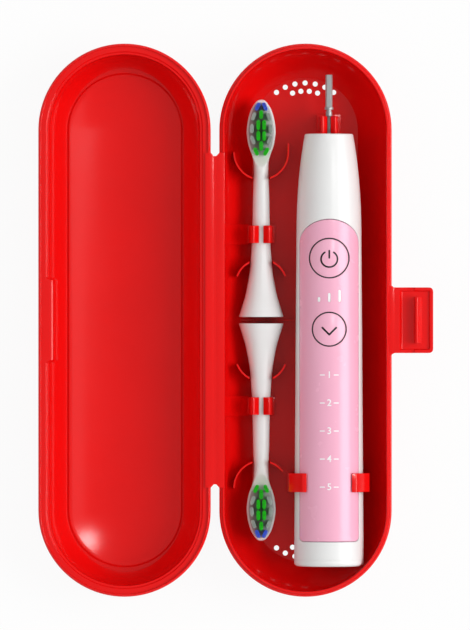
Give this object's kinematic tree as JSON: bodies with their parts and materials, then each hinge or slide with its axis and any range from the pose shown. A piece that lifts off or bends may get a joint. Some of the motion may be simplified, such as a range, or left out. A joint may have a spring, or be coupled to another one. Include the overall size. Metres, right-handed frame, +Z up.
{
  "type": "electric toothbrush travel case",
  "caption": "Open hinged travel case with a fold-up latch, holding a brush handle with two buttons and two brush heads in clips.",
  "frame": {"origin": "middle of the base shell's flat underside, on the table", "axes": "+X from the lid to the latch, +Y along the case towards the brush end, +Z up out of the open case"},
  "size_m": [0.1534, 0.215, 0.0291],
  "materials": {
    "case_plastic": "glossy moulded polypropylene",
    "handle_plastic": "satin white moulded plastic",
    "panel_grip": "soft-touch pink overmould",
    "head_plastic": "glossy white moulded plastic",
    "bristle": "nylon strands in green, blue and pale grey tufts",
    "shaft_steel": "brushed",
    "drive_metal": "plain",
    "seal_rubber": "matt",
    "inner_plastic": "plain moulded",
    "board": "solder mask",
    "light_guide": "clear moulded",
    "battery_wrap": "shrink wrap",
    "nickel": "plain strip",
    "ferrite": "sintered",
    "copper": "enamelled winding"
  },
  "bodies": {
    "base": {"base_shell": "case_plastic", "lid_hinge_film": "case_plastic", "latch_hinge_film": "case_plastic", "upper_head_clip": "case_plastic", "lower_head_clip": "case_plastic", "shaft_clip": "case_plastic", "handle_clip_left": "case_plastic", "handle_clip_right": "case_plastic"},
    "lid": {"lid_shell": "case_plastic"},
    "latch": {"latch_flap": "case_plastic"},
    "handle": {"handle_shell": "handle_plastic", "front_panel": "panel_grip", "bottom_cap": "handle_plastic", "cap_seal": "seal_rubber", "inner_frame": "inner_plastic", "circuit_board": "board", "power_switch": "inner_plastic", "mode_switch": "inner_plastic", "level_light_guide": "light_guide", "mode_led_1": "light_guide", "mode_led_2": "light_guide", "mode_led_3": "light_guide", "mode_led_4": "light_guide", "mode_led_5": "light_guide", "battery": "battery_wrap", "battery_tab_front": "nickel", "battery_tab_rear": "nickel", "coil_core": "ferrite", "charging_coil": "copper", "drive_stator": "drive_metal", "drive_damper": "seal_rubber", "shaft_bearing": "inner_plastic", "shaft_seal": "seal_rubber"},
    "drive": {"drive_shaft": "shaft_steel", "drive_armature": "drive_metal"},
    "power_key": {"power_button": "panel_grip"},
    "mode_key": {"mode_button": "panel_grip"},
    "upper_brush": {"upper_head": "head_plastic", "upper_bristles": "bristle", "upper_coupling": "inner_plastic"},
    "lower_brush": {"lower_head": "head_plastic", "lower_bristles": "bristle", "lower_coupling": "inner_plastic"}
  },
  "joints": [
    {"name": "lid_hinge", "type": "hinge", "parent": "base", "child": "lid", "pos_m": [-0.03517, 0, 0.02215], "axis": [0, 1, 0], "range_deg": [0, 180], "deforming": ["lid_hinge_film"]},
    {"name": "latch_hinge", "type": "hinge", "parent": "base", "child": "latch", "pos_m": [0.035, 0, 0.02215], "axis": [0, -1, 0], "range_deg": [0, 90], "deforming": ["latch_hinge_film"]},
    {"name": "handle_lift", "type": "slide", "parent": "base", "child": "handle", "axis": [0, 0, -1], "range_m": [-0.045, 0], "deforming": ["shaft_clip", "handle_clip_left", "handle_clip_right"]},
    {"name": "upper_head_lift", "type": "slide", "parent": "base", "child": "upper_brush", "axis": [0, 0, -1], "range_m": [-0.03, 0], "deforming": ["upper_head_clip"]},
    {"name": "lower_head_lift", "type": "slide", "parent": "base", "child": "lower_brush", "axis": [0, 0, -1], "range_m": [-0.03, 0], "deforming": ["lower_head_clip"]},
    {"name": "shaft_swing", "type": "hinge", "parent": "handle", "child": "drive", "pos_m": [0.00917, 0, 0.01555], "axis": [0, 1, 0], "range_deg": [-5, 5], "stiffness_Nm_per_rad": 0.05},
    {"name": "power_press", "type": "slide", "parent": "handle", "child": "power_key", "axis": [0, 0, -1], "range_m": [0, 0.0005], "stiffness_N_per_m": 1500, "springref_m": -0.0002},
    {"name": "mode_press", "type": "slide", "parent": "handle", "child": "mode_key", "axis": [0, 0, -1], "range_m": [0, 0.0005], "stiffness_N_per_m": 1500, "springref_m": -0.0002}
  ]
}
